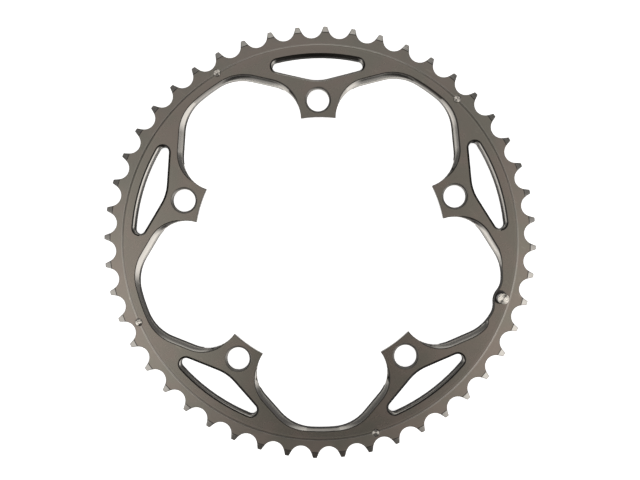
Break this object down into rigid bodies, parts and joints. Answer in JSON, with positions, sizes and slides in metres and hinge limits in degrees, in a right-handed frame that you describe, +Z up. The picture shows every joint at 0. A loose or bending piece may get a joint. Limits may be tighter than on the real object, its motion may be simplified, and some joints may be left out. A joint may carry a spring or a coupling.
{
  "type": "chainring",
  "caption": "Bicycle chainring in grey anodised aluminium with bolt tabs, curved slots, round-edged pockets, steel shift pins and a chain drop pin.",
  "frame": {"origin": "on the ring's axis at the level of its inner face, the bottom of the ring as it lies", "axes": "Z up along the ring's axis towards its outer face, Y through the first bolt hole, X to the right"},
  "size_m": [0.1974, 0.1974, 0.009],
  "materials": {
    "anodised_aluminium": "satin grey anodised",
    "pin_steel": "turned bright"
  },
  "bodies": {
    "root": {"chainring": "anodised_aluminium", "shift_pin_1": "pin_steel", "shift_pin_2": "pin_steel", "shift_pin_3": "pin_steel", "shift_pin_4": "pin_steel", "chain_drop_pin": "pin_steel"}
  },
  "joints": []
}
